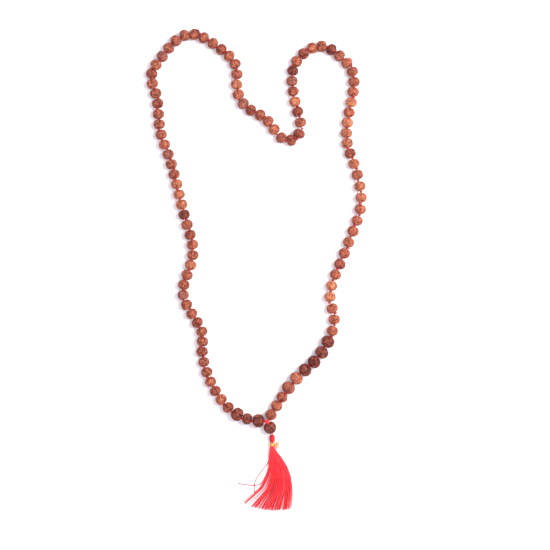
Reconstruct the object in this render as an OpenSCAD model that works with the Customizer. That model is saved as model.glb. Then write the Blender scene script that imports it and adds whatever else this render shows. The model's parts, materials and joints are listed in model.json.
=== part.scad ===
// Mala prayer beads: a loop of turned seeds on a knotted thread, laid flat on a table, with a
// head bead and a tassel. Millimetres. +Z is up, z = 0 is the table, and +Y runs from the tassel
// to the far end of the loop. The loop is cut into short runs of seeds that bend at the knots.

/* [Seeds] */
// Across a common seed, square to the thread
seed_d = 8.3; // [6:0.1:10]
// Along a common seed, from hole to hole
seed_len = 6.5; // [5:0.1:7.6]
// Across a large seed
big_d = 9.8; // [8:0.2:12]
// Along a large seed, from hole to hole
big_len = 7.6; // [6:0.1:9.4]
// Across the head bead, which joins both ends of the loop
head_d = 9.2; // [8:0.2:12]
// Along the head bead, from hole to hole
head_len = 7.6; // [6:0.1:9]
// Hole through every seed
hole_d = 1.5; // [1.3:0.1:1.8]

/* [Thread] */
// Stringing thread
thread_d = 1; // [0.6:0.1:1.1]
// Small knot between two seeds
knot_d = 1.8; // [1.6:0.1:2.2]
// Knot that ties both ends of the loop together
tie_d = 3; // [2.4:0.1:3.6]
// Thread from the tie knot to the seed on each side
tie_gap = 1.8; // [1.6:0.1:3]
// Thread from the tie knot down to the head bead
head_gap = 2.2; // [2:0.1:4]
// Degrees that the thread may bend at a knot before its two seeds meet
knot_bend = 37; // [37:1:44]
// Play left between two seeds at that bend
knot_play = 0.05; // [0.05:0.05:0.5]
// More thread between the seeds of the loosely strung side
loose_play = 0.9; // [0:0.1:1.5]
// Sharpest bend at a knot in the tight bend of the far end, in degrees
tip_bend = 60.2; // [60.2:0.1:64]
// Gap that lets pieces turn past each other
clearance = 0.1; // [0.05:0.05:0.15]

/* [Tassel] */
// Across the wrapped neck ball
neck_d = 4; // [3:0.2:5]
// From end to end of the neck ball
neck_len = 6; // [5.4:0.1:8]
// Across the gold band round the tassel's top
band_d = 4; // [3.6:0.1:5]
// Length of the gold band
band_len = 2.4; // [1.8:0.1:4]
// Wall of the gold band
band_wall = 0.4; // [0.3:0.05:0.6]
// Across each loop of the gold bow
bow_d = 3; // [2.4:0.1:4]
// Gold cord of the bow
bow_cord_d = 0.6; // [0.5:0.1:0.9]
// Length of the skirt of threads, below the band
skirt_len = 47; // [35:1:70]
// Thickness of the skirt where it lies on the table
skirt_thick = 4; // [3:0.5:6]
// Single thread that strays from the skirt
stray_d = 0.6; // [0.5:0.1:0.8]

/* [Hidden] */
// First seed of each run that moves as one, and the seed after the last one
RUN_FIRST = [1, 6, 10, 14, 18, 22, 26, 30, 34, 37, 41, 46, 51, 54,
             57, 62, 65, 68, 72, 76, 80, 86, 90, 94, 98, 103, 108];
RUNS = len(RUN_FIRST) - 1;
// Seeds on the loop, without the head bead
seed_count = RUN_FIRST[RUNS] - 1;
// Large seeds lie near the head bead, on both sides
BIG = [1, 3, 99, 100, 101, 102, 103, 104];
// The loosely strung side, and the tight bend
LOOSE = [83, 98];
TIP = [58, 61];
function two(n) = str(n < 10 ? "0" : "", n);

// Centre line of the loop as it lies, from the tie knot up the left side, round the three bends
// of the far end, and back down the right side
LAY = [[8, -109], [-8, -107], [-22, -97], [-33, -80], [-39, -59], [-38, -45], [-46, -32],
       [-53, -15], [-45, 12], [-52, 41], [-61, 77], [-69, 100], [-71, 124], [-76, 140],
       [-68, 153], [-56, 167], [-43, 170], [-25, 159], [-14, 148], [-14, 131], [-8, 118],
       [8, 109], [13, 101], [20, 93], [29, 94], [33, 103], [28, 122], [26, 142], [32, 154],
       [47, 162], [63, 152], [71, 137], [65, 97], [72, 73], [76, 47], [65, 15], [53, -17],
       [57, -37], [46, -62], [27, -80]];
LOOP = concat(LAY, [LAY[0]]);
STEPS = 8; // points worked out between two points of the lay

// Smooth curve through the points of a route
function ahead(p, i) = i < 0 ? 2 * p[0] - p[1] : i < len(p) ? p[i] : 2 * p[len(p) - 1] - p[len(p) - 2];
function spline(a, b, c, d, t) =
    (2 * b + (c - a) * t + (2 * a - 5 * b + 4 * c - d) * t * t + (3 * b - a - 3 * c + d) * t * t * t) / 2;
function smooth(p, steps) = concat(
    [for (i = [0:len(p) - 2], s = [0:steps - 1])
        spline(ahead(p, i - 1), p[i], p[i + 1], ahead(p, i + 2), s / steps)],
    [p[len(p) - 1]]);
function run_length(p) =
    [for (i = 0, s = 0; i < len(p); i = i + 1, s = s + (i < len(p) ? norm(p[i] - p[i - 1]) : 0)) s];

// Size of each seed, and the thread that it takes up
function is_big(i) = len(search(i, BIG)) > 0;
function across(i) = is_big(i) ? big_d : seed_d;
function along(i) = is_big(i) ? big_len : seed_len;
function within(i, part) = i >= part[0] && i <= part[1];
function loose(i) = within(i, LOOSE) ? loose_play : 0;
function half_bend(i) = (within(i, TIP) ? tip_bend : knot_bend) / 2;
function pitch(i) =
    (along(i) + (across(i) - along(i)) * sin(half_bend(i))) / cos(half_bend(i)) + knot_play;
function thread_to(last) = tie_gap + (last < 1 ? 0 : [for (i = 1, s = pitch(1) + loose(1); i <= last;
    i = i + 1, s = s + pitch(i) + loose(i)) s][last - 1]);

// The lay grows or shrinks with the thread, so that the loop always closes
curve = smooth(LOOP, STEPS);
reach = run_length(curve);
reach_x = [for (i = [0:len(curve) - 1]) [reach[i], curve[i].x]];
reach_y = [for (i = [0:len(curve) - 1]) [reach[i], curve[i].y]];
thread_len = thread_to(seed_count) + tie_gap;
lay_scale = thread_len / reach[len(reach) - 1];
function on_lay(s) = lay_scale * [lookup(s / lay_scale, reach_x), lookup(s / lay_scale, reach_y)];
function height(j) = max(across(max(j, 1)), across(min(j + 1, seed_count))) / 2;

// Knot 0 lies before the first seed and knot i after seed i
knot = [for (j = [0:seed_count]) concat(on_lay(thread_to(j)), [height(j)])];
tie_rise = 2.6; // the tie knot rides up between the seeds that it draws together
tie = concat(lay_scale * LAY[0], [max(big_d, head_d) / 2 + tie_rise]);

// Head bead on the table, its hole in line with the tie knot
HEAD_TURN = -64; // degrees from +X, as seen from above
head_reach = head_gap + head_len / 2;
head_tilt = asin((tie.z - head_d / 2) / head_reach);
head_way = [cos(head_tilt) * cos(HEAD_TURN), cos(head_tilt) * sin(HEAD_TURN), -sin(head_tilt)];
head_middle = tie + head_reach * head_way;
head_end = head_middle + head_len / 2 * head_way;

// Tassel, straight down the table from the head bead
neck_r = neck_d / 2;
neck_gap = 1.9; // thread from the head bead's hole to the neck ball
neck_rise = 0.8; // the thread holds the neck's upper end off the table
neck_fall = 0.4;
neck_top = [head_end.x, head_end.y - neck_gap - neck_r, neck_r + neck_rise];
neck_end = neck_top - [0, neck_len - neck_d, neck_fall];
band_top = [neck_end.x, neck_end.y - neck_r - clearance, max(band_d / 2, neck_end.z - clearance)];
band_end = band_top - [0, band_len, 0];
fringe = band_d / 2 - band_wall;

module place(from, to) {
    way = to - from;
    translate(from) rotate([0, acos(way.z / norm(way)), atan2(way.y, way.x)]) children();
}

module rod(from, to, d) {
    place(from, to) cylinder(h = norm(to - from), d = d, $fn = 24);
}

// Rounded seed, hollowed at each hole where a knot nests. knots is how far apart the knots are
module seed_body(d, len, knots, nest) {
    round_r = len / 2;
    flat_r = max(d / 2 - round_r, 0);
    rotate_extrude($fn = 48) difference() {
        union() {
            translate([flat_r, 0]) circle(r = min(round_r, d / 2), $fn = 48);
            translate([0, -round_r]) square([max(flat_r, hole_d / 4), len]);
        }
        translate([-d, -len]) square([d + hole_d / 2, 2 * len]);
        for (y = [-knots / 2, knots / 2]) translate([0, y]) circle(d = nest, $fn = 32);
    }
}

module seed(i) {
    from = knot[i - 1];
    to = knot[i];
    pitch_now = norm(to - from);
    place((from + to) / 2, to)
        seed_body(across(i), pitch_now - (pitch(i) + loose(i) - along(i)), pitch_now,
            knot_d + 2 * clearance);
}

// Seeds of one run
module seeds(n) {
    color("sienna") for (i = [RUN_FIRST[n - 1]:RUN_FIRST[n] - 1]) seed(i);
}

// Straight thread between two points that stops short of each by a gap, unless a knot ends it
module strand(from, to, start_gap, end_gap, knot = 0) {
    end = norm(to - from) - end_gap;
    place(from, to) rotate_extrude($fn = 32) intersection() {
        union() {
            translate([0, start_gap]) square([thread_d / 2, end - start_gap]);
            if (knot > 0) translate([0, end]) circle(d = knot, $fn = 32);
        }
        square([max(knot, thread_d), end + knot]);
    }
}

// Thread of one run, in sections from just past one knot to the knot after the next seed
module cord(n) {
    color("crimson") for (i = [RUN_FIRST[n - 1]:RUN_FIRST[n] - 1])
        strand(knot[i - 1], knot[i], knot_d / 2 + clearance, 0, knot_d);
}

module head_bead() {
    color("saddlebrown") place(head_middle, head_end)
        seed_body(head_d, head_len, 2 * head_reach, knot_d + 2 * clearance);
}

// Tie knot with the thread down through the head bead, and the thread from it to both ends of
// the loop and on to the neck
module tie_cord() {
    past_tie = tie_d / 2 + clearance;
    last_gap = 3 * clearance; // the loop opens and closes a little here as it bends
    color("crimson") {
        strand(head_end, tie, 0, 0, tie_d);
        strand(tie, knot[0], past_tie, 0, knot_d);
        strand(tie, knot[seed_count], past_tie, knot_d / 2 + last_gap);
        strand(head_end, neck_top, thread_d / 2 + clearance, neck_r + clearance);
    }
}

// Closed skin over rings of the same number of points
module skin(rings) {
    n = len(rings[0]);
    last = len(rings) - 1;
    polyhedron(
        points = [for (ring = rings) each ring],
        faces = concat([[for (k = [0:n - 1]) k]],
            [for (r = [0:last - 1], k = [0:n - 1])
                [r * n + k, (r + 1) * n + k, (r + 1) * n + (k + 1) % n, r * n + (k + 1) % n]],
            [[for (k = [n - 1:-1:0]) last * n + k]]));
}

// Round tube along a way that runs mostly level
TUBE_SIDES = 8;
function tube_ring(way, i, d) =
    let (fwd = way[min(i + 1, len(way) - 1)] - way[max(i - 1, 0)],
         side = [fwd.y, -fwd.x, 0] / norm([fwd.x, fwd.y]), up = cross(side, fwd) / norm(fwd))
    [for (k = [0:TUBE_SIDES - 1]) let (a = 360 * (k + 0.5) / TUBE_SIDES)
        way[i] + d / 2 * (cos(a) * side + sin(a) * up)];
module tube(way, d) {
    skin([for (i = [0:len(way) - 1]) tube_ring(way, i, d)]);
}

// Ball of thread wound round the neck, round at both ends so that both joints can turn
module neck_ball() {
    apart = norm(neck_end - neck_top);
    color("firebrick") place(neck_top, neck_end) rotate_extrude($fn = 48) intersection() {
        union() {
            for (y = [0, apart]) translate([0, y]) circle(d = neck_d, $fn = 48);
            translate([-neck_r, 0]) square([neck_d, apart]);
        }
        translate([0, -neck_d]) square([neck_d, apart + 2 * neck_d]);
    }
}

module gold_band() {
    color("gold") place(band_top, band_end) rotate_extrude($fn = 48)
        translate([band_d / 2 - band_wall, 0]) square([band_wall, band_len]);
}

// Two open loops and two ends of gold cord round a knot, on the right of the band
module gold_bow() {
    tied_r = bow_cord_d;
    tied = band_top + [band_d / 2 + tied_r + clearance, -band_len / 2, 0];
    loop_r = (bow_d - bow_cord_d) / 2;
    bend = 280; // degrees of each loop, open towards the knot
    spread = 55; // degrees from each loop to the way straight out
    tilt = 30; // degrees that each loop stands off the table
    end_start = tied_r + clearance;
    end_reach = 0.8 * bow_d;
    color("goldenrod") translate(tied) {
        sphere(r = tied_r, $fn = 32);
        for (turn = [spread, -spread]) rotate([0, 0, turn]) rotate([tilt, 0, 0])
            translate([loop_r + bow_cord_d / 2, 0, 0]) rotate([0, 0, 180 + (360 - bend) / 2])
                rotate_extrude(angle = bend, $fn = 48) translate([loop_r, 0])
                    circle(d = bow_cord_d, $fn = 24);
        for (way = [[0.45, -0.25, -0.86], [0.1, 0.25, 0.96]])
            rod(end_start * way, end_reach * way, bow_cord_d);
    }
}

// One level of the skirt: how far down it is, its left and right edges, and the height of its middle
SKIRT = [[0.00, 0, 0], [0.06, -0.6, 1.2], [0.16, -1, 5], [0.30, -1.2, 9.4], [0.46, -2.8, 12.4],
         [0.62, -7, 13.6], [0.72, -12, 14], [0.80, -17, 14.2], [0.84, -17.6, 14.3], [0.90, -14, 14.4],
         [0.97, -8, 14.4], [1.00, -5, 13]];
SIDES = 16;
BOUND = SKIRT[1][0]; // the skirt is still bound round as far down as its second level
THINNING = 0.3; // how much thinner the skirt lies at its end
function skirt_half(v) = v < BOUND ? fringe - clearance : skirt_thick / 2 * (1 - THINNING * v);
function skirt_mid(v) = skirt_half(v) + (band_end.z - skirt_half(0)) * pow(1 - v, 3);
function skirt_x(edge) = band_end.x + edge;
function skirt_ring(level) =
    let (v = level[0], half = skirt_half(v), low = skirt_x(level[1]) - (fringe - clearance),
         high = skirt_x(level[2]) + fringe - clearance)
    [for (k = [0:SIDES - 1]) let (a = 360 * k / SIDES)
        [(low + high) / 2 + (high - low) / 2 * cos(a), band_end.y - v * skirt_len,
         skirt_mid(v) + half * sin(a)]];

// Skirt of threads, fanned out on the table, with its top inside the gold band
module skirt() {
    top = [for (p = skirt_ring(SKIRT[0])) p + [0, band_len, 0]];
    color("red") skin(concat([top], [for (level = SKIRT) skirt_ring(level)]));
}

// Ways of the two stray threads on the table from the band's end, and how far each point is lifted,
// in threads. The second thread passes over the first
STRAY_1 = [[-3, -12, 0], [-6, -16, 0], [-9, -20, 0], [-12, -25, 0], [-13, -31, 0], [-12.5, -34, 0]];
STRAY_2 = [[-5.5, -23, 0], [-7.5, -26.5, 0.2], [-10, -28, 0.9], [-12.6, -28.3, 1.5], [-15.4, -28.2, 0.9],
           [-19, -28, 0], [-22, -27.5, 0], [-25, -26.7, 0]];
function stray_way(points) =
    smooth([for (p = points) [band_end.x + p.x, band_end.y + p.y, (0.5 + p.z) * stray_d]], 4);
module stray(points) {
    color("red") tube(stray_way(points), stray_d);
}

for (n = [1:RUNS]) {
    seeds(n);
    cord(n);
}
head_bead();
tie_cord();
neck_ball();
gold_band();
gold_bow();
skirt();
stray(STRAY_1);  // stray_1
stray(STRAY_2);  // stray_2
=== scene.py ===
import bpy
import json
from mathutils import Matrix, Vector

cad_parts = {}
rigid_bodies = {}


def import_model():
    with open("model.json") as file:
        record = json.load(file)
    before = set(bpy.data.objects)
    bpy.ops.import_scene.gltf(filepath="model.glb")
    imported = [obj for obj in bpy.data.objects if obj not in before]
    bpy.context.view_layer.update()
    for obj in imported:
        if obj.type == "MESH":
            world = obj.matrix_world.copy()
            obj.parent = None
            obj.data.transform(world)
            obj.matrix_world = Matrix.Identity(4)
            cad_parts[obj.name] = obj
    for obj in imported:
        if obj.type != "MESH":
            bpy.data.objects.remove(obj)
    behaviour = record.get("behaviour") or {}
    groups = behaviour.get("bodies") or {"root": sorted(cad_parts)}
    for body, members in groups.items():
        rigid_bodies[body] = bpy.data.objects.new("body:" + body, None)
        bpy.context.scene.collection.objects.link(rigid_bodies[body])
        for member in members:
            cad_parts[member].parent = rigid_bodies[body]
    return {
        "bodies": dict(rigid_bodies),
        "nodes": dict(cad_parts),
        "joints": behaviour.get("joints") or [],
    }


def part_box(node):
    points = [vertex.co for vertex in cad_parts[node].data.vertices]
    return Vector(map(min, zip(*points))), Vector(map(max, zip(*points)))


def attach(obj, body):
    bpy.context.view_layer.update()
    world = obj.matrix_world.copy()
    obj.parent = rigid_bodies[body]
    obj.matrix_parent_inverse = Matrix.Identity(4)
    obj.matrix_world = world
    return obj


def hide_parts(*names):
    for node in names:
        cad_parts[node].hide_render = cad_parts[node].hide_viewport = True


bl_info = {
    "name": "Mala Beads",
    "version": (1, 0, 0),
    "blender": (4, 5, 0),
    "location": "3D View > Sidebar > Mala",
    "description": "Carved-looking seeds, knotted thread, gold tie and fanned tassel of a mala",
    "category": "Add Mesh",
}

import json
import math
import random

import bmesh
import bpy
import numpy as np
from bpy.props import FloatProperty, FloatVectorProperty, IntProperty, PointerProperty
from mathutils import Matrix, Vector, noise

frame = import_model()
NODES = frame["nodes"]
JOINTS = {joint["name"]: joint for joint in frame["joints"]}
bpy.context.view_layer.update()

MM = 0.001
Z_AXIS = Vector((0, 0, 1))

# How dark each seed is, from the head bead up the left side and round to it again
SEED_TONES = (
    "BBBCECEDDC" "DDCDDPDDFD" "ECDBFFFDDP" "EDDDCDECFP" "DDDDDDCEDD" "FEPCDEEDCC"
    "DCGDPBECED" "BDEDDEGEGF" "FCFDFFEEEE" "ECEGGEEEBB" "ABFDDED"
)
# Colour of the raised grain and the painted shade of the crevices for each tone, as a dyer would name them in
# sRGB
TONE_COLOURS = {
    "A": ((0.61, 0.27, 0.20), (0.23, 0.06, 0.04)),
    "B": ((0.64, 0.32, 0.24), (0.26, 0.08, 0.06)),
    "C": ((0.71, 0.37, 0.27), (0.33, 0.11, 0.08)),
    "D": ((0.74, 0.42, 0.31), (0.36, 0.14, 0.10)),
    "E": ((0.78, 0.45, 0.33), (0.40, 0.16, 0.11)),
    "F": ((0.80, 0.49, 0.36), (0.42, 0.18, 0.12)),
    "G": ((0.84, 0.54, 0.39), (0.46, 0.21, 0.14)),
    "P": ((0.70, 0.42, 0.35), (0.36, 0.16, 0.13)),
    "H": ((0.63, 0.34, 0.27), (0.27, 0.10, 0.08)),
}
# Seeds that keep a scrap of dark husk, and the side that it is on
HUSKS = {44: (0.72, 0.55, 0.42)}
# How thick and ridged the grain is for each tone
COARSE = {"A": 1.0, "B": 0.9, "C": 0.6, "D": 0.4, "E": 0.3, "F": 0.2, "G": 0.1, "P": 0.3, "H": 0.8}


# ---------------------------------------------------------------- sizes and colours


class SeedSettings(bpy.types.PropertyGroup):
    detail: IntProperty(name="Detail", description="Subdivisions of each seed", default=5, min=3, max=6)
    grain: FloatProperty(
        name="Grain", description="Size of one raised grain on a seed",
        default=1.15 * MM, min=0.4 * MM, subtype="DISTANCE", unit="LENGTH",
    )
    relief: FloatProperty(
        name="Relief", description="Depth of the crevices as a share of the seed's radius",
        default=0.17, min=0.0, max=0.3, subtype="FACTOR",
    )
    plump: FloatProperty(
        name="Plumpness", description="How far a seed swells along its thread, past its solid",
        default=1.09, min=1.0, max=1.15, subtype="FACTOR",
    )
    faces: IntProperty(name="Faces", description="Grooves from pole to pole", default=5, min=3, max=8)


class ThreadSettings(bpy.types.PropertyGroup):
    colour: FloatVectorProperty(
        name="Colour", description="Colour of the stringing thread", size=3,
        default=(0.34, 0.006, 0.014), min=0, max=1, subtype="COLOR",
    )
    radius: FloatProperty(
        name="Radius", description="Radius of the twisted thread",
        default=0.48 * MM, subtype="DISTANCE", unit="LENGTH",
    )
    turn: FloatProperty(
        name="Turn", description="Length of thread for one turn of its twist",
        default=2.4 * MM, subtype="DISTANCE", unit="LENGTH",
    )
    knot_size: FloatProperty(
        name="Knot", description="Radius of the knot between two seeds",
        default=1.05 * MM, subtype="DISTANCE", unit="LENGTH",
    )


class TasselSettings(bpy.types.PropertyGroup):
    colour: FloatVectorProperty(
        name="Colour", description="Colour of the skirt's threads", size=3,
        default=(0.84, 0.007, 0.016), min=0, max=1, subtype="COLOR",
    )
    gold: FloatVectorProperty(
        name="Gold", description="Colour of the gold thread", size=3,
        default=(0.68, 0.27, 0.05), min=0, max=1, subtype="COLOR",
    )
    threads: IntProperty(name="Threads", description="Threads in the skirt", default=270, min=20, max=600)
    thread_radius: FloatProperty(
        name="Thread radius", description="Radius of one thread of the skirt",
        default=0.19 * MM, subtype="DISTANCE", unit="LENGTH",
    )


class StageSettings(bpy.types.PropertyGroup):
    floor: FloatVectorProperty(
        name="Floor", description="Colour of the floor", size=3,
        default=(0.93, 0.93, 0.935), min=0, max=1, subtype="COLOR",
    )
    view_width: FloatProperty(
        name="View width", description="Width of floor that the camera sees",
        default=0.396, subtype="DISTANCE", unit="LENGTH",
    )
    camera_height: FloatProperty(
        name="Camera height", description="Height of the camera above the floor",
        default=1.3, subtype="DISTANCE", unit="LENGTH",
    )


# ---------------------------------------------------------------- reading the frame


def solids(node):
    """Vertex places of each closed piece of a node, in the order of the mesh."""
    mesh = NODES[node].data
    places = np.zeros(len(mesh.vertices) * 3)
    mesh.vertices.foreach_get("co", places)
    places = places.reshape(-1, 3)
    _, same = np.unique(np.round(places, 7), axis=0, return_inverse=True)
    same = same.reshape(-1)
    parent = list(range(same.max() + 1))

    def root(i):
        while parent[i] != i:
            parent[i] = parent[parent[i]]
            i = parent[i]
        return i

    for polygon in mesh.polygons:
        ids = [root(same[i]) for i in polygon.vertices]
        for other in ids[1:]:
            parent[root(other)] = root(ids[0])
    groups = {}
    for index, merged in enumerate(same):
        groups.setdefault(root(merged), []).append(index)
    return [places[ids] for ids in sorted(groups.values())]


def long_axis(points):
    """Middle, unit direction of the longest spread, and spread along and across it."""
    middle = points.mean(axis=0)
    _, _, ways = np.linalg.svd(points - middle, full_matrices=False)
    along = (points - middle) @ ways[0]
    across = np.linalg.norm(points - middle - np.outer(along, ways[0]), axis=1)
    return middle, ways[0], along, across


def thread_section(points):
    """Start, knot centre and knot radius of one thread section with a knot at its end."""
    middle, way, along, across = long_axis(points)
    bulge = across > 0.8 * across.max()
    if along[bulge].mean() < 0:
        way, along = -way, -along
    # the section is round, so its axis goes through the middle of both ends
    knot_r = across.max()
    end = middle + way * (along.max() - knot_r)
    start = middle + way * along.min()
    return Vector(start), Vector(end), float(knot_r)


HINGE_KNOT_SHIFT = 0.35  # a knot that a run turns about lies closer to the middle of the thread


def nearest(places, target):
    """Index of the place that lies closest to a target."""
    return min(range(len(places)), key=lambda index: (places[index] - target).length)


class Strung:
    """One seed on its thread: its place, the way its hole runs, its size and its knots."""

    def __init__(self, run, number, seed_points, thread):
        start, self.knot, self.knot_radius = thread
        self.run = run
        self.number = number
        self.way = (self.knot - start).normalized()
        offset = seed_points - np.array(self.knot)
        along = offset @ np.array(self.way)
        across = np.linalg.norm(offset - np.outer(along, self.way), axis=1)
        self.half = float(along.max() - along.min()) / 2
        self.radius = float(across.max())
        self.middle = self.knot + self.way * float(along.max() + along.min()) / 2
        self.before = self.middle * 2 - self.knot


def strung_seeds():
    """Every seed of the loop in order, from the head bead up the left side."""
    runs = sorted(name for name in frame["bodies"] if name.startswith("run_"))
    starts = {joint["child"]: Vector(joint["pos_m"]) for joint in frame["joints"]}
    starts[runs[0]] = Vector(JOINTS["head_spin"]["pos_m"])
    order = []
    for run in runs:
        number = run[len("run_"):]
        seeds = solids("seeds_" + number)
        threads = [thread_section(points) for points in solids("cord_" + number)]
        if len(seeds) != len(threads):
            raise RuntimeError(f"{run} has {len(seeds)} seeds and {len(threads)} thread sections")
        # walk along the thread: each section starts where the one before it ends in a knot
        place = starts[run]
        while threads:
            thread = threads.pop(nearest([start for start, _, _ in threads], place))
            start, place, _ = thread
            seed = seeds.pop(nearest([Vector(points.mean(axis=0)) for points in seeds], (start + place) / 2))
            order.append(Strung(run, len(order) + 1, seed, thread))
    return order


STRUNG = strung_seeds()
if len(STRUNG) != len(SEED_TONES):
    raise RuntimeError(f"the loop has {len(STRUNG)} seeds and {len(SEED_TONES)} tones")

HEAD_MIDDLE = Vector(JOINTS["head_spin"]["pos_m"])
HEAD_WAY = Vector(JOINTS["head_spin"]["axis"]).normalized()
NECK_TOP = Vector(JOINTS["neck_swing"]["pos_m"])
NECK_END = Vector(JOINTS["skirt_lift"]["pos_m"])


def box_size(node):
    low, high = (Vector(corner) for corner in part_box(node))
    return (low + high) / 2, high - low


# ---------------------------------------------------------------- meshes


def linear(colour):
    """sRGB colour as linear light."""
    return tuple(c / 12.92 if c <= 0.04045 else ((c + 0.055) / 1.055) ** 2.4 for c in colour)


def new_piece(name, vertices, faces, body, material, place=None, attribute=None):
    """Smooth mesh object that rides on a body, with an optional value for each vertex."""
    mesh = bpy.data.meshes.new(name)
    if place is not None:
        vertices = [place @ v for v in vertices]
    mesh.from_pydata([tuple(v) for v in vertices], [], faces)
    mesh.update()
    mesh.polygons.foreach_set("use_smooth", [True] * len(mesh.polygons))
    if attribute is not None:
        # for a seed, this value carries painted shade at its hole pits and picks its painted crevice shade
        layer = mesh.attributes.new("relief", "FLOAT", "POINT")
        layer.data.foreach_set("value", [float(v) for v in attribute])
    mesh.materials.append(material)
    piece = bpy.data.objects.new(name, mesh)
    bpy.context.scene.collection.objects.link(piece)
    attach(piece, body)
    return piece


def axis_place(middle, way, roll=0.0):
    """Matrix that turns +Z to a direction and moves the origin to a place."""
    turn = way.to_track_quat("Z", "Y").to_matrix().to_4x4()
    return Matrix.Translation(middle) @ turn @ Matrix.Rotation(roll, 4, "Z")


def smooth_way(points, steps):
    """Points along a smooth curve through a list of points."""
    points = [Vector(p) for p in points]
    ends = [points[0] * 2 - points[1]] + points + [points[-1] * 2 - points[-2]]
    way = []
    for a, b, c, d in zip(ends, ends[1:], ends[2:], ends[3:]):
        for step in range(steps):
            t = step / steps
            way.append(
                (b * 2 + (c - a) * t + (a * 2 - b * 5 + c * 4 - d) * t * t
                 + (b * 3 - a - c * 3 + d) * t * t * t) / 2
            )
    way.append(points[-1])
    return way


def even_way(points, gap):
    """The same polyline with points about one gap apart."""
    way = [points[0]]
    for a, b in zip(points, points[1:]):
        count = max(1, round((b - a).length / gap))
        way += [a.lerp(b, (i + 1) / count) for i in range(count)]
    return way


def tube(way, radius, sides=6, closed=False, flat=1.0):
    """Vertices and faces of a tube along a way. radius is a number or a function of (share, angle)."""
    count = len(way)
    vertices, faces = [], []
    normal = None
    for i, point in enumerate(way):
        ahead = way[(i + 1) % count] if closed or i < count - 1 else way[i]
        behind = way[i - 1] if closed or i > 0 else way[i]
        forward = (ahead - behind).normalized()
        if normal is None:
            normal = forward.orthogonal().normalized()
        normal = (normal - forward * normal.dot(forward)).normalized()
        across = forward.cross(normal)
        for k in range(sides):
            angle = 2 * math.pi * k / sides
            r = radius(i / count, angle) if callable(radius) else radius
            vertices.append(point + (normal * math.cos(angle) + across * math.sin(angle) * flat) * r)
    rings = count if closed else count - 1
    for i in range(rings):
        for k in range(sides):
            a, b = i * sides + k, i * sides + (k + 1) % sides
            c, d = ((i + 1) % count) * sides + (k + 1) % sides, ((i + 1) % count) * sides + k
            faces.append((a, b, c, d))
    if not closed:
        faces.append(tuple(reversed(range(sides))))
        faces.append(tuple((count - 1) * sides + k for k in range(sides)))
    return vertices, faces


class Bundle:
    """Several meshes gathered into one."""

    def __init__(self):
        self.vertices = []
        self.faces = []

    def add(self, shape):
        vertices, faces = shape
        start = len(self.vertices)
        self.vertices += vertices
        self.faces += [tuple(start + i for i in face) for face in faces]


def twisted(way, settings):
    """Two-ply thread along a way: its cross-section is waisted, and turns along it."""
    even = even_way(way, 0.3 * MM)
    length = sum((b - a).length for a, b in zip(even, even[1:]))
    turns = length / settings.turn

    def radius(share, angle):
        return settings.radius * (0.84 + 0.16 * math.cos(2 * (angle - 2 * math.pi * turns * share)))

    return tube(even, radius, sides=10)


def overhand(middle, way, size, thread_radius, roll):
    """Overhand knot pulled tight round a place on the thread."""
    count = 44
    turn = axis_place(middle, way, roll)
    points = []
    for i in range(count):
        t = 2 * math.pi * i / count
        x = (math.sin(t) + 2 * math.sin(2 * t)) / 3
        y = (math.cos(t) - 2 * math.cos(2 * t)) / 3
        z = -math.sin(3 * t) / 2.2
        points.append(turn @ (Vector((x, y, z)) * (size - thread_radius)))
    return tube(points, thread_radius, sides=8, closed=True)


def lathe(outline, sides=32):
    """Surface of revolution about Z through (radius, height) points, closed at both ends."""
    vertices, faces = [], []
    for radius, height in outline:
        for k in range(sides):
            angle = 2 * math.pi * k / sides
            vertices.append(Vector((radius * math.cos(angle), radius * math.sin(angle), height)))
    for i in range(len(outline) - 1):
        for k in range(sides):
            a, b = i * sides + k, i * sides + (k + 1) % sides
            faces.append((a, b, b + sides, a + sides))
    faces.append(tuple(reversed(range(sides))))
    faces.append(tuple((len(outline) - 1) * sides + k for k in range(sides)))
    return vertices, faces


def ball_template(detail):
    shape = bmesh.new()
    bmesh.ops.create_icosphere(shape, subdivisions=detail, radius=1.0)
    vertices = [v.co.copy() for v in shape.verts]
    faces = [tuple(v.index for v in f.verts) for f in shape.faces]
    shape.free()
    return vertices, faces


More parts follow.
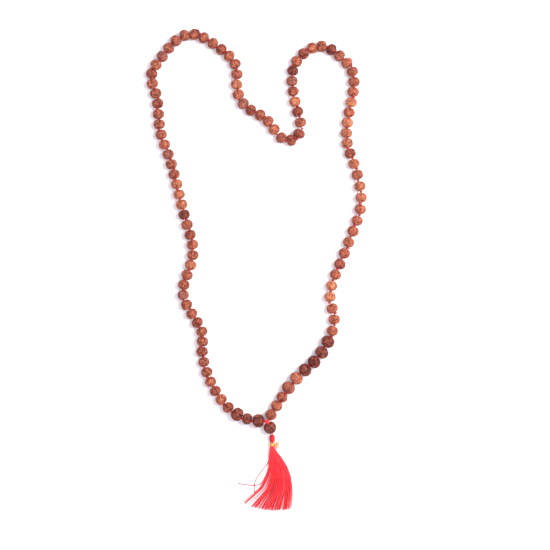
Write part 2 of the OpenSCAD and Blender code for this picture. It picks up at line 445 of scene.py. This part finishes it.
def seed_shape(template, radius, half, settings, number, coarse, husk=None):
    """Pitted, grooved seed with its hole along Z, and how high each point stands on its relief, darkened by
    painted shade in the hole pits and by the husk's own dark colour.

    coarse is 0 for a pale, fine-grained seed and 1 for a dark one with thick, wandering ridges.
    husk is the direction of a lump of dark husk, where the seed has one.
    """
    draw = random.Random(number)
    shift = Vector((draw.uniform(-50, 50), draw.uniform(-50, 50), draw.uniform(-50, 50)))
    first_groove = draw.uniform(0, 2 * math.pi)
    fullness = draw.uniform(2.1, 2.4)
    lean = draw.uniform(-0.04, 0.04)
    grain_size = settings.grain * (0.85 + 0.35 * coarse) * draw.uniform(0.9, 1.1)
    wells = []
    for _ in range(draw.randint(5, 9)):
        well = Vector((draw.gauss(0, 1), draw.gauss(0, 1), draw.gauss(0, 0.8))).normalized()
        wells.append((well, draw.uniform(0.07, 0.13)))
    vertices, relief_with_shade_and_husk = [], []
    for d in template:
        sine = math.hypot(d.x, d.y)
        reach = ((sine / radius) ** fullness + (abs(d.z) / half) ** fullness) ** (-1 / fullness)
        surface = d * reach
        cell = surface / grain_size + shift
        bent = cell + Vector((noise.noise(cell * 0.8), noise.noise(cell * 0.8 + shift), 0)) * 0.9
        distances, _ = noise.voronoi(bent)
        grain = min(1.0, (distances[1] - distances[0]) / (0.34 + 0.1 * coarse))
        fine = 0.5 + 0.5 * noise.noise(cell * 2.6)
        broad = 0.5 + 0.5 * noise.noise(cell * 0.5)
        angle = math.atan2(d.y, d.x) + first_groove + 0.14 * noise.noise(Vector((d.z * 3, number, 0)))
        step = 2 * math.pi / settings.faces
        off_groove = (0.5 - abs((angle / step) % 1.0 - 0.5)) * step
        groove = math.exp(-((off_groove / 0.07) ** 2)) * min(1.0, sine * 1.6)
        well_depth = max(math.exp(-(((d - well).length / size) ** 2)) for well, size in wells)
        height = 0.50 * grain ** (0.6 + 0.5 * coarse) + 0.20 * fine + 0.30 * broad
        height = max(0.0, height - (0.2 + 0.2 * coarse) * groove - 0.55 * well_depth)
        pit = math.exp(-((sine / 0.24) ** 2))
        swell = 1 + lean * d.z + 0.02 * noise.noise(d * 1.3 + shift)
        place = surface * swell * (1 + settings.relief * (height - 0.66))
        place -= Vector((0, 0, math.copysign(1, d.z) * pit * 0.14 * half))
        # painted shade: the hole pit at each pole is darkened in the value that picks the crevice colour
        shade = 1 - 0.7 * pit
        if husk is not None:
            lump = math.exp(-(((d - husk).length / 0.42) ** 4))
            place *= 1 + 0.2 * lump
            # the dark husk's own colour darkens the same value
            shade *= 1 - 0.75 * lump
        vertices.append(place)
        # a low value picks the crevice colour, so grooves, wells, crevices and hole pits get painted shade
        relief_with_shade_and_husk.append(height * shade)
    return vertices, relief_with_shade_and_husk


# ---------------------------------------------------------------- materials


def group_nodes(name, inputs, outputs):
    """New shader node group with named inputs (name, type, default) and outputs (name, type)."""
    group = bpy.data.node_groups.new(name, "ShaderNodeTree")
    for label, kind, default in inputs:
        socket = group.interface.new_socket(name=label, in_out="INPUT", socket_type=kind)
        socket.default_value = default
    for label, kind in outputs:
        group.interface.new_socket(name=label, in_out="OUTPUT", socket_type=kind)
    start = group.nodes.new("NodeGroupInput")
    end = group.nodes.new("NodeGroupOutput")
    return group, start, end


def math_node(tree, operation, a, b=None, clamp=False):
    node = tree.nodes.new("ShaderNodeMath")
    node.operation = operation
    node.use_clamp = clamp
    for socket, value in zip(node.inputs, (a, b)):
        if value is None:
            continue
        if isinstance(value, bpy.types.NodeSocket):
            tree.links.new(value, socket)
        else:
            socket.default_value = value
    return node.outputs[0]


def mix_colour(tree, share, a, b):
    node = tree.nodes.new("ShaderNodeMix")
    node.data_type = "RGBA"
    for socket, value in zip((node.inputs[0], node.inputs[6], node.inputs[7]), (share, a, b)):
        if isinstance(value, bpy.types.NodeSocket):
            tree.links.new(value, socket)
        else:
            socket.default_value = value
    return node.outputs[2]


def noise_node(tree, scale, detail=3.0, roughness=0.5, coordinate=None):
    node = tree.nodes.new("ShaderNodeTexNoise")
    node.inputs["Scale"].default_value = scale
    node.inputs["Detail"].default_value = detail
    node.inputs["Roughness"].default_value = roughness
    tree.links.new(coordinate, node.inputs["Vector"])
    return node.outputs["Fac"]


def object_coordinate(tree):
    return tree.nodes.new("ShaderNodeTexCoord").outputs["Object"]


def build_speckle_group():
    """Mottling and tiny pits for a seed's shell, with painted shade in its crevices and a painted highlight
    on its ridge tops: a colour, a roughness value and a height.
    """
    group, start, end = group_nodes(
        "Shell speckle",
        [("Ridge", "NodeSocketColor", (0.5, 0.3, 0.2, 1)),
         ("Crevice", "NodeSocketColor", (0.1, 0.05, 0.03, 1)),
         ("Relief", "NodeSocketFloat", 0.5), ("Painted highlight", "NodeSocketFloat", 0.3)],
        [("Color", "NodeSocketColor"), ("Roughness", "NodeSocketFloat"), ("Height", "NodeSocketFloat")],
    )
    where = object_coordinate(group)
    mottle = noise_node(group, 700.0, 4.0, 0.6, where)
    pits = noise_node(group, 2600.0, 2.0, 0.6, where)
    # low relief takes the crevice colour, which is painted shade in the crevices and hole pits
    raised = math_node(group, "MULTIPLY_ADD", start.outputs["Relief"], 1.8)
    raised.node.inputs[2].default_value = -0.5
    spotted = math_node(group, "MULTIPLY_ADD", mottle, 1.9)
    spotted.node.inputs[2].default_value = -0.95
    share = math_node(group, "ADD", raised, spotted, clamp=True)
    shell = mix_colour(group, share, start.outputs["Crevice"], start.outputs["Ridge"])
    # painted highlight: the highest ridge tops are mixed towards a pale colour
    top = math_node(group, "SUBTRACT", start.outputs["Relief"], 0.72, clamp=True)
    ridge_top_highlight = math_node(group, "MULTIPLY", top, 2.5, clamp=True)
    painted_highlight = math_node(group, "MULTIPLY", ridge_top_highlight, start.outputs["Painted highlight"])
    pale = mix_colour(group, painted_highlight, shell, (0.86, 0.62, 0.50, 1))
    group.links.new(pale, end.inputs["Color"])
    rough = math_node(group, "MULTIPLY_ADD", pits, 0.35)
    rough.node.inputs[2].default_value = 0.36
    group.links.new(rough, end.inputs["Roughness"])
    depth = math_node(group, "ADD", mottle, math_node(group, "MULTIPLY", pits, 0.6))
    group.links.new(depth, end.inputs["Height"])
    return group


def build_fibre_group():
    """Fine fibres and uneven dye, for thread: a colour and a height."""
    group, start, end = group_nodes(
        "Thread fibre",
        [("Base", "NodeSocketColor", (0.6, 0.02, 0.03, 1)), ("Pale", "NodeSocketColor", (0.8, 0.1, 0.1, 1)),
         ("Fibre scale", "NodeSocketFloat", 1800.0)],
        [("Color", "NodeSocketColor"), ("Height", "NodeSocketFloat")],
    )
    where = object_coordinate(group)
    dye = noise_node(group, 260.0, 2.0, 0.5, where)
    fibre = group.nodes.new("ShaderNodeTexNoise")
    fibre.inputs["Detail"].default_value = 3.0
    group.links.new(where, fibre.inputs["Vector"])
    group.links.new(start.outputs["Fibre scale"], fibre.inputs["Scale"])
    share = math_node(group, "MULTIPLY_ADD", math_node(group, "ADD", dye, fibre.outputs["Fac"]), 1.4)
    share.node.inputs[2].default_value = -1.0
    share.node.use_clamp = True
    colour = mix_colour(group, share, start.outputs["Base"], start.outputs["Pale"])
    group.links.new(colour, end.inputs["Color"])
    group.links.new(fibre.outputs["Fac"], end.inputs["Height"])
    return group


def new_material(name):
    material = bpy.data.materials.new(name)
    material.use_nodes = True
    tree = material.node_tree
    return material, tree, tree.nodes["Principled BSDF"]


def place_group(tree, group, values):
    node = tree.nodes.new("ShaderNodeGroup")
    node.node_tree = group
    for label, value in values.items():
        if isinstance(value, bpy.types.NodeSocket):
            tree.links.new(value, node.inputs[label])
        else:
            node.inputs[label].default_value = value
    return node


def bump(tree, shader, height, strength, distance):
    node = tree.nodes.new("ShaderNodeBump")
    node.inputs["Strength"].default_value = strength
    node.inputs["Distance"].default_value = distance
    tree.links.new(height, node.inputs["Height"])
    tree.links.new(node.outputs["Normal"], shader.inputs["Normal"])


def seed_material(tone, speckle):
    """Dry seed shell in one tone, with painted shade in its crevices and hole pits and a painted highlight on
    its ridge tops.
    """
    ridge, crevice = (linear(colour) + (1.0,) for colour in TONE_COLOURS[tone])
    material, tree, shader = new_material("seed_shell_" + tone)
    # the relief value, with painted shade at the hole pits, picks painted crevice shade where it is low
    relief = tree.nodes.new("ShaderNodeAttribute")
    relief.attribute_name = "relief"
    # 0.22 is the strength of the painted highlight on the ridge tops
    shell = place_group(
        tree, speckle, {"Ridge": ridge, "Crevice": crevice, "Relief": relief.outputs["Fac"], "Painted highlight": 0.22}
    )
    tree.links.new(shell.outputs["Color"], shader.inputs["Base Color"])
    tree.links.new(shell.outputs["Roughness"], shader.inputs["Roughness"])
    shader.inputs["Specular IOR Level"].default_value = 0.25
    bump(tree, shader, shell.outputs["Height"], 0.5, 0.00012)
    return material


def thread_material(name, colour, pale, fibre, sheen=0.08, scale=1800.0):
    """Dyed thread with fibres along it and a soft sheen."""
    material, tree, shader = new_material(name)
    strands = place_group(
        tree, fibre, {"Base": tuple(colour) + (1.0,), "Pale": tuple(pale) + (1.0,), "Fibre scale": scale}
    )
    tree.links.new(strands.outputs["Color"], shader.inputs["Base Color"])
    shader.inputs["Roughness"].default_value = 0.62
    shader.inputs["Sheen Weight"].default_value = sheen
    shader.inputs["Sheen Roughness"].default_value = 0.4
    bump(tree, shader, strands.outputs["Height"], 0.4, 0.00006)
    return material


def gold_material(colour):
    """Metallic gold thread, crumpled and a little dull."""
    material, tree, shader = new_material("gold_thread")
    where = object_coordinate(tree)
    wear = noise_node(tree, 900.0, 3.0, 0.6, where)
    base = mix_colour(tree, wear, tuple(colour) + (1.0,), (0.84, 0.49, 0.19, 1.0))
    tree.links.new(base, shader.inputs["Base Color"])
    rough = math_node(tree, "MULTIPLY_ADD", wear, 0.3)
    rough.node.inputs[2].default_value = 0.22
    tree.links.new(rough, shader.inputs["Roughness"])
    shader.inputs["Metallic"].default_value = 0.6
    bump(tree, shader, noise_node(tree, 1900.0, 2.0, 0.5, where), 0.6, 0.0001)
    return material


def finish(name, build):
    """A material by name, made when it is first asked for."""
    return bpy.data.materials.get(name) or build()


def group(name, build):
    return bpy.data.node_groups.get(name) or build()


def speckle():
    return group("Shell speckle", build_speckle_group)


def fibre():
    return group("Thread fibre", build_fibre_group)


def seed_finish(tone):
    return finish("seed_shell_" + tone, lambda: seed_material(tone, speckle()))


def cord_finish(settings):
    return finish(
        "crimson_thread",
        lambda: thread_material("crimson_thread", settings.colour, (0.62, 0.02, 0.035), fibre()),
    )


def gold_finish(settings):
    return finish("gold_thread", lambda: gold_material(settings.gold))


# ---------------------------------------------------------------- operators


class MALA_OT_seeds(bpy.types.Operator):
    """Carve every seed of the loop with its grain, grooves and hole pits"""

    bl_idname = "mala.seeds"
    bl_label = "Seeds"

    def execute(self, context):
        settings = context.scene.mala_seeds
        template, faces = ball_template(settings.detail)
        replaced = set()
        for seed in STRUNG:
            tone = SEED_TONES[seed.number - 1]
            material = seed_finish(tone)
            roll = random.Random(1000 + seed.number).uniform(0, 2 * math.pi)
            place = axis_place(seed.middle, seed.way, roll)
            husk = None
            if seed.number in HUSKS:
                husk = place.to_3x3().inverted() @ Vector(HUSKS[seed.number])
            vertices, relief_with_shade_and_husk = seed_shape(
                template, seed.radius, seed.half * settings.plump, settings, seed.number, COARSE[tone], husk
            )
            piece = new_piece(
                f"seed_{seed.number:03d}", vertices, faces, seed.run, material, place, relief_with_shade_and_husk
            )
            if seed.run not in replaced:
                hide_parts("seeds_" + seed.run[len("run_"):])
                replaced.add(seed.run)
        return {"FINISHED"}


class MALA_OT_head_bead(bpy.types.Operator):
    """Carve the darker head bead that closes the loop"""

    bl_idname = "mala.head_bead"
    bl_label = "Head bead"

    def execute(self, context):
        settings = context.scene.mala_seeds
        template, faces = ball_template(settings.detail)
        points = solids("head_bead")[0] - np.array(HEAD_MIDDLE)
        along = points @ np.array(HEAD_WAY)
        across = np.linalg.norm(points - np.outer(along, HEAD_WAY), axis=1)
        vertices, relief_with_shade_and_husk = seed_shape(
            template, across.max(), along.max() * settings.plump, settings, len(STRUNG) + 1, COARSE["H"]
        )
        piece = new_piece(
            "head_seed", vertices, faces, "head", seed_finish("H"), axis_place(HEAD_MIDDLE, HEAD_WAY), relief_with_shade_and_husk
        )
        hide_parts("head_bead")
        return {"FINISHED"}


class MALA_OT_thread(bpy.types.Operator):
    """Lay the twisted thread through the seeds, with a knot after each"""

    bl_idname = "mala.thread"
    bl_label = "Thread and knots"

    def execute(self, context):
        settings = context.scene.mala_thread
        material = cord_finish(settings)
        for run in sorted({seed.run for seed in STRUNG}):
            seeds = [seed for seed in STRUNG if seed.run == run]
            number = run[len("run_"):]
            way = [seeds[0].before] + [seed.knot for seed in seeds]
            strand = new_piece("thread_" + number, *twisted(way, settings), run, material)
            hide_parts("cord_" + number)
            for seed in seeds:
                draw = random.Random(2000 + seed.number)
                side = seed.way.cross(Z_AXIS).normalized() * draw.choice((-1, 1))
                shift = side * draw.uniform(0.2, 1.2) * MM + Z_AXIS * draw.uniform(0.5, 1.2) * MM
                if seed is seeds[-1]:
                    shift *= HINGE_KNOT_SHIFT
                shape = overhand(
                    seed.knot + shift, seed.way, settings.knot_size * draw.uniform(0.95, 1.15),
                    0.42 * MM, draw.uniform(0, 2 * math.pi),
                )
                knot = new_piece(f"knot_{seed.number:03d}", *shape, run, material)
        return {"FINISHED"}


class MALA_OT_tie(bpy.types.Operator):
    """Tie both ends of the loop and lead the thread down through the head bead"""

    bl_idname = "mala.tie"
    bl_label = "Tie knot"

    def execute(self, context):
        settings = context.scene.mala_thread
        body = "run_01"
        top = max((points for points in solids("tie_cord")), key=lambda points: points[:, 2].max())
        crown = top[top[:, 2] > top[:, 2].max() - 0.1 * MM]
        tie = Vector((crown[:, 0].mean(), crown[:, 1].mean(), top[:, 2].max() - 1.5 * MM))
        first, last = STRUNG[0], STRUNG[-1]
        head_end = HEAD_MIDDLE + HEAD_WAY * (HEAD_MIDDLE - tie).length * 0.63
        bundle = Bundle()
        bundle.add(twisted([tie, first.before], settings))
        bundle.add(twisted([tie, last.knot], settings))
        down = (NECK_TOP - head_end).normalized()
        way = smooth_way([tie, HEAD_MIDDLE, head_end, NECK_TOP - down * 1.6 * MM], 8)
        bundle.add(twisted(way, settings))
        out = (last.knot - tie).normalized()
        bundle.add(overhand(tie, out, 1.75 * MM, 0.62 * MM, 0.4))
        bundle.add(overhand(tie + Vector((-0.2, 0.1, 0.2)) * MM, HEAD_WAY, 1.5 * MM, 0.6 * MM, 1.9))
        bundle.add(overhand(tie + HEAD_WAY * 2.0 * MM, HEAD_WAY, 1.0 * MM, 0.45 * MM, 0.9))
        bundle.add(overhand(first.before, first.way, settings.knot_size, 0.42 * MM, 0.7))
        piece = new_piece("tie_knot", bundle.vertices, bundle.faces, body, self.finish(settings))
        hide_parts("tie_cord")
        return {"FINISHED"}

    def finish(self, settings):
        return finish(
            "tie_thread",
            lambda: thread_material("tie_thread", (0.60, 0.008, 0.02), (0.9, 0.04, 0.05), fibre()),
        )


class MALA_OT_neck(bpy.types.Operator):
    """Wind the red thread round the tassel's neck"""

    bl_idname = "mala.neck"
    bl_label = "Neck ball"

    def execute(self, context):
        way = NECK_END - NECK_TOP
        radius = box_size("neck_ball")[1].x / 2
        length = way.length + 2 * radius
        strand = 0.24 * MM
        place = axis_place((NECK_TOP + NECK_END) / 2, way.normalized())
        turns, steps = 15, 22

        def reach(height, r):
            beyond = max(0.0, abs(height) - way.length / 2)
            return math.sqrt(max(0.0, r * r - beyond * beyond))

        bundle = Bundle()
        points = []
        for i in range(turns * steps + 1):
            share = i / (turns * steps)
            height = (share - 0.5) * (length - 1.2 * strand)
            angle = 2 * math.pi * turns * share
            r = max(0.3 * MM, reach(height, radius) - strand)
            wobble = 0.12 * MM * noise.noise(Vector((angle * 0.7, height * 900, 3)))
            points.append(place @ Vector((r * math.cos(angle), r * math.sin(angle), height + wobble)))
        bundle.add(tube(points, strand, sides=7))
        inner = radius - 1.2 * strand
        outline = [(max(0.05 * MM, reach(h, inner)), h) for h in
                   [(i / 20 - 0.5) * (way.length + 2 * inner) for i in range(21)]]
        vertices, faces = lathe(outline)
        bundle.add(([place @ v for v in vertices], faces))
        material = thread_material("neck_thread", (0.44, 0.004, 0.01), (0.68, 0.01, 0.02), fibre())
        piece = new_piece("neck_winding", bundle.vertices, bundle.faces, "neck", material)
        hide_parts("neck_ball")
        return {"FINISHED"}


class MALA_OT_gold(bpy.types.Operator):
    """Wind the gold thread round the tassel and tie its bow"""

    bl_idname = "mala.gold"
    bl_label = "Gold tie"

    def execute(self, context):
        settings = context.scene.mala_tassel
        material = gold_finish(settings)
        self.wind_band(material)
        self.tie_bow(material)
        return {"FINISHED"}

    def wind_band(self, material):
        middle, size = box_size("gold_band")
        radius, strand, turns, steps = size.x / 2, 0.24 * MM, 6, 30
        bundle = Bundle()
        points = []
        for i in range(turns * steps + 1):
            share = i / (turns * steps)
            angle = 2 * math.pi * turns * share
            r = radius - strand * (1.1 + 0.6 * noise.noise(Vector((angle * 0.9, 5, 1))))
            along = (0.5 - share) * (size.y - 2 * strand) + 0.16 * MM * noise.noise(Vector((angle, 1, 9)))
            points.append(middle + Vector((r * math.cos(angle), along, r * math.sin(angle))))
        bundle.add(tube(points, strand, sides=7))
        inner = radius - 1.6 * strand
        outline = [
            (inner * 0.8, -size.y / 2), (inner, -size.y * 0.42),
            (inner, size.y * 0.42), (inner * 0.8, size.y / 2),
        ]
        vertices, faces = lathe(outline)
        place = axis_place(middle, Vector((0, 1, 0)))
        bundle.add(([place @ v for v in vertices], faces))
        piece = new_piece("gold_wraps", bundle.vertices, bundle.faces, "tassel", material)
        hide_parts("gold_band")

    def tie_bow(self, material):
        band_middle, band_size = box_size("gold_band")
        _, high = (Vector(corner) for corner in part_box("gold_bow"))
        tied = Vector((band_middle.x + band_size.x / 2 + 0.45 * MM, band_middle.y, band_middle.z))
        reach = high.x - tied.x
        bundle = Bundle()
        loops = [
            [(0, 0, 0), (0.35, 0.45, 0.15), (0.75, 0.8, 0.3), (1.0, 0.7, 0.1), (0.8, 0.25, -0.05),
             (0.3, 0.05, 0), (0, 0, 0)],
            [(0, 0, 0), (0.25, -0.4, 0.2), (0.55, -0.95, 0.25), (0.9, -0.95, 0.3), (0.85, -0.45, 0.1),
             (0.3, -0.1, 0.05), (0, 0, 0)],
            [(0, 0, 0), (0.4, 0.1, 0.2), (0.8, -0.05, 0.5), (1.0, -0.3, 0.4)],
            [(0, 0, 0), (0.2, -0.5, -0.2), (0.5, -0.85, -0.35), (0.6, -1.15, -0.3)],
        ]
        for number, loop in enumerate(loops):
            points = [tied + Vector(p) * reach for p in loop]
            way = [p + Vector((0, 0, 0.15 * MM * noise.noise(p * 1500))) for p in smooth_way(points, 7)]

            def crumple(share, angle, number=number):
                return 0.42 * MM * (1 + 0.35 * noise.noise(Vector((share * 9, angle, number * 7))))

            bundle.add(tube(way, crumple, sides=8, flat=0.45))
        template, faces = ball_template(3)
        knot = [tied + v * 0.75 * MM * (1 + 0.2 * noise.noise(v * 2.5)) for v in template]
        bundle.add((knot, faces))
        piece = new_piece("gold_tails", bundle.vertices, bundle.faces, "tassel", material)
        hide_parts("gold_bow")


# Ways of the two stray threads on the table, in millimetres from the band's end: right, up the
# table, and lift in threads. The first two or three points of each lie inside the skirt
STRAYS = {
    "stray_1": [(-0.6, -1, 2.5), (-1.4, -6, 0.8), (-3, -12, 0), (-6, -16, 0), (-9, -20, 0), (-12, -25, 0),
                (-13, -31, 0), (-12.5, -34, 0)],
    "stray_2": [(-0.4, -1, 2.5), (-1, -9, 1.2), (-2.8, -17, 0.6), (-5.5, -23, 0), (-7.5, -26.5, 0.2),
                (-10, -28, 0.9), (-12.6, -28.3, 1.5), (-15.4, -28.2, 0.9), (-19, -28, 0), (-22, -27.5, 0),
                (-25, -26.7, 0)],
}


def skirt_levels():
    """Rings of the skirt's solid from its top to its end: (y, left, right, low, high)."""
    places = np.concatenate(solids("skirt"))
    levels = []
    for y in sorted(set(np.round(places[:, 1], 5)), reverse=True):
        ring = places[np.abs(places[:, 1] - y) < 2e-5]
        levels.append((y, ring[:, 0].min(), ring[:, 0].max(), ring[:, 2].min(), ring[:, 2].max()))
    return levels


def skirt_at(levels, y):
    """Left, right, low and high of the skirt at a distance down it."""
    for above, below in zip(levels, levels[1:]):
        if below[0] <= y:
            share = (above[0] - y) / max(1e-9, above[0] - below[0])
            return [a + (b - a) * share for a, b in zip(above[1:], below[1:])]
    return list(levels[-1][1:])


class MALA_OT_skirt(bpy.types.Operator):
    """Fan the loose threads of the tassel's skirt over the table"""

    bl_idname = "mala.skirt"
    bl_label = "Skirt"

    def execute(self, context):
        settings = context.scene.mala_tassel
        levels = skirt_levels()
        top, end = levels[0][0], levels[-1][0]
        draw = random.Random(21)
        count = 24
        clumps = [
            (-1 + 2 * (i + draw.uniform(0.15, 0.85)) / count, draw.uniform(0.45, 0.95))
            for i in range(count)
        ]
        bundles = [Bundle(), Bundle(), Bundle()]
        # most threads hang in the middle and on the right, and a few fan out to the left
        shares = sorted(
            draw.uniform(-1, 1) if number % 6 == 0 else draw.triangular(-0.6, 1, 0.35)
            for number in range(settings.threads)
        )
        for number, across in enumerate(shares):
            bound = 2 * (number + 0.5) / settings.threads - 1
            depth = draw.uniform(-1, 1)
            clump, pull = min(clumps, key=lambda c: abs(c[0] - across))
            reach = (top - end) * (1.035 - 0.06 * draw.random() ** 2)
            wave = draw.uniform(0, 2 * math.pi)
            swing = draw.uniform(0.1, 0.5) * MM
            way = self.hang(
                levels, top, bound, across, clump, pull, depth, wave, swing, settings.thread_radius
            )
            way = self.cut(way, reach)
            kind = draw.choices((0, 1, 2), (8, 1, 1))[0]

            def thin(share, angle, wave=wave):
                uneven = 1 + 0.12 * math.sin(wave + 40 * share)
                return settings.thread_radius * uneven * (1 - 0.4 * share ** 6)

            bundles[kind].add(tube(way, thin, sides=6))
        red, pink, deep = self.finishes(settings)
        for name, bundle, material in zip(
            ("skirt_red", "skirt_pink", "skirt_deep"), bundles, (red, pink, deep)
        ):
            piece = new_piece(name, bundle.vertices, bundle.faces, "tassel", material)
            if name == "skirt_red":
                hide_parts("skirt")
        return {"FINISHED"}

    @staticmethod
    def hang(levels, top, bound, across, clump, pull, depth, wave, swing, radius):
        """Way of one thread down the fan, from where it is bound to its share of the width and its clump."""
        fall = top - levels[-1][0]
        fan_end = 0.8
        rings = 20
        way = []
        for i in range(rings + 1):
            share = i / rings
            y = top - fall * min(share, fan_end)
            left, right, low, high = skirt_at(levels, y)
            u = bound + (across - bound) * min(1.0, max(0.0, share - 0.1) * 1.7)
            u += (clump - across) * pull * min(1.0, max(0.0, share - 0.35) * 2.4)
            u = max(-0.98, min(0.98, u))
            x = (left + right) / 2 + u * ((right - left) / 2 - radius)
            room = math.sqrt(max(0.0, 1 - u * u))
            z = (low + high) / 2 + depth * room * ((high - low) / 2 - radius)
            if share > fan_end:
                lean = (way[-1] - way[-2]).x * 0.95
                x = way[-1].x + lean
                y = top - fall * share
                z = way[-1].z
            else:
                x += swing * share * math.sin(wave + 5 * share)
            way.append(Vector((x, y, max(radius, z))))
        return way

    @staticmethod
    def cut(way, length):
        """The first part of a way, up to a length."""
        kept = [way[0]]
        for a, b in zip(way, way[1:]):
            step = (b - a).length
            if step >= length:
                kept.append(a.lerp(b, length / step))
                return kept
            length -= step
            kept.append(b)
        return kept

    @staticmethod
    def finishes(settings):
        pale = (0.92, 0.028, 0.045)
        return (
            thread_material("skirt_red", settings.colour, pale, fibre(), 0.12, 1200.0),
            thread_material("skirt_pink", (0.93, 0.04, 0.06), (0.98, 0.09, 0.115), fibre(), 0.12, 1200.0),
            thread_material("skirt_deep", (0.62, 0.004, 0.012), settings.colour, fibre(), 0.12, 1200.0),
        )


class MALA_OT_strays(bpy.types.Operator):
    """Lay the two threads that stray from the skirt"""

    bl_idname = "mala.strays"
    bl_label = "Stray threads"

    def execute(self, context):
        middle, size = box_size("gold_band")
        outlet = Vector((middle.x, middle.y - size.y / 2, 0))
        radius = 0.3 * MM
        material = bpy.data.materials["skirt_deep"]
        for name, points in STRAYS.items():
            places = [
                Vector((outlet.x + x * MM, outlet.y + y * MM, (1 + 2 * lift) * radius))
                for x, y, lift in points
            ]
            way = smooth_way(places, 6)
            piece = new_piece(name + "_thread", *tube(way, radius, sides=8), "tassel", material)
            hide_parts(name)
        return {"FINISHED"}


class MALA_OT_stage(bpy.types.Operator):
    """Set the floor, the soft lights and the camera straight above"""

    bl_idname = "mala.stage"
    bl_label = "Stage"

    def execute(self, context):
        settings = context.scene.mala_stage
        self.lay_floor(settings)
        self.hang_lights(context)
        self.aim_camera(context, settings)
        return {"FINISHED"}

    @staticmethod
    def lay_floor(settings):
        half = 3.0
        mesh = bpy.data.meshes.new("floor")
        corners = [(-half, -half, 0), (half, -half, 0), (half, half, 0), (-half, half, 0)]
        mesh.from_pydata(corners, [], [(0, 1, 2, 3)])
        material, tree, shader = new_material("floor")
        tint = noise_node(tree, 3.0, 2.0, 0.5, object_coordinate(tree))
        base = mix_colour(tree, tint, tuple(settings.floor) + (1.0,), (0.95, 0.95, 0.955, 1.0))
        tree.links.new(base, shader.inputs["Base Color"])
        shader.inputs["Roughness"].default_value = 0.8
        shader.inputs["Specular IOR Level"].default_value = 0.1
        mesh.materials.append(material)
        floor = bpy.data.objects.new("floor", mesh)
        bpy.context.scene.collection.objects.link(floor)

    @staticmethod
    def hang_lights(context):
        lamps = [
            ("key", (0.62, 0.22, 0.95), 0.45, 15.5, (1.0, 0.965, 0.92)),
            ("fill", (-0.8, -0.3, 1.1), 1.4, 3.0, (0.90, 0.86, 1.0)),
            ("top", (0.0, 0.1, 1.6), 1.6, 7.5, (1.0, 0.97, 1.0)),
        ]
        for name, place, size, power, colour in lamps:
            light = bpy.data.lights.new(name, "AREA")
            light.size = size
            light.energy = power
            light.color = colour
            lamp = bpy.data.objects.new(name, light)
            lamp.location = place
            lamp.rotation_euler = (-Vector(place)).to_track_quat("-Z", "Y").to_euler()
            context.scene.collection.objects.link(lamp)
        world = bpy.data.worlds.new("studio")
        world.use_nodes = True
        world.node_tree.nodes["Background"].inputs["Color"].default_value = (0.95, 0.89, 1.0, 1.0)
        world.node_tree.nodes["Background"].inputs["Strength"].default_value = 0.75
        context.scene.world = world
        context.scene.view_settings.view_transform = "Standard"

    @staticmethod
    def aim_camera(context, settings):
        # the tassel hangs left of the middle of the view, so the camera stands a little to the right
        middle = Vector((13.8, -3.6, 4.0)) * MM
        lens = bpy.data.cameras.new("camera")
        lens.sensor_width = 36.0
        lens.angle = 2 * math.atan(settings.view_width / 2 / (settings.camera_height - middle.z))
        camera = bpy.data.objects.new("camera", lens)
        camera.location = (middle.x, middle.y, settings.camera_height)
        context.scene.collection.objects.link(camera)
        context.scene.camera = camera


class MALA_PT_panel(bpy.types.Panel):
    """Sizes, colours and steps of the mala"""

    bl_idname = "MALA_PT_panel"
    bl_label = "Mala"
    bl_space_type = "VIEW_3D"
    bl_region_type = "UI"
    bl_category = "Mala"

    def draw(self, context):
        for group_name in SETTINGS:
            box = self.layout.box()
            settings = getattr(context.scene, group_name)
            for name in settings.__annotations__:
                box.prop(settings, name)
        for operator in OPERATORS:
            self.layout.operator(operator.bl_idname)


OPERATORS = (
    MALA_OT_stage, MALA_OT_seeds, MALA_OT_head_bead, MALA_OT_thread, MALA_OT_tie, MALA_OT_neck, MALA_OT_gold,
    MALA_OT_skirt, MALA_OT_strays,
)
SETTINGS = {
    "mala_seeds": SeedSettings,
    "mala_thread": ThreadSettings,
    "mala_tassel": TasselSettings,
    "mala_stage": StageSettings,
}


def register():
    for settings in SETTINGS.values():
        bpy.utils.register_class(settings)
    for operator in OPERATORS:
        bpy.utils.register_class(operator)
    bpy.utils.register_class(MALA_PT_panel)
    for name, settings in SETTINGS.items():
        setattr(bpy.types.Scene, name, PointerProperty(type=settings))


def unregister():
    for name in SETTINGS:
        delattr(bpy.types.Scene, name)
    bpy.utils.unregister_class(MALA_PT_panel)
    for operator in reversed(OPERATORS):
        bpy.utils.unregister_class(operator)
    for settings in SETTINGS.values():
        bpy.utils.unregister_class(settings)


def main():
    register()
    for operator in OPERATORS:
        family, action = operator.bl_idname.split(".")
        result = getattr(getattr(bpy.ops, family), action)()
        if result != {"FINISHED"}:
            raise RuntimeError(f"{operator.bl_idname} did not finish")


if __name__ == "__main__":
    main()
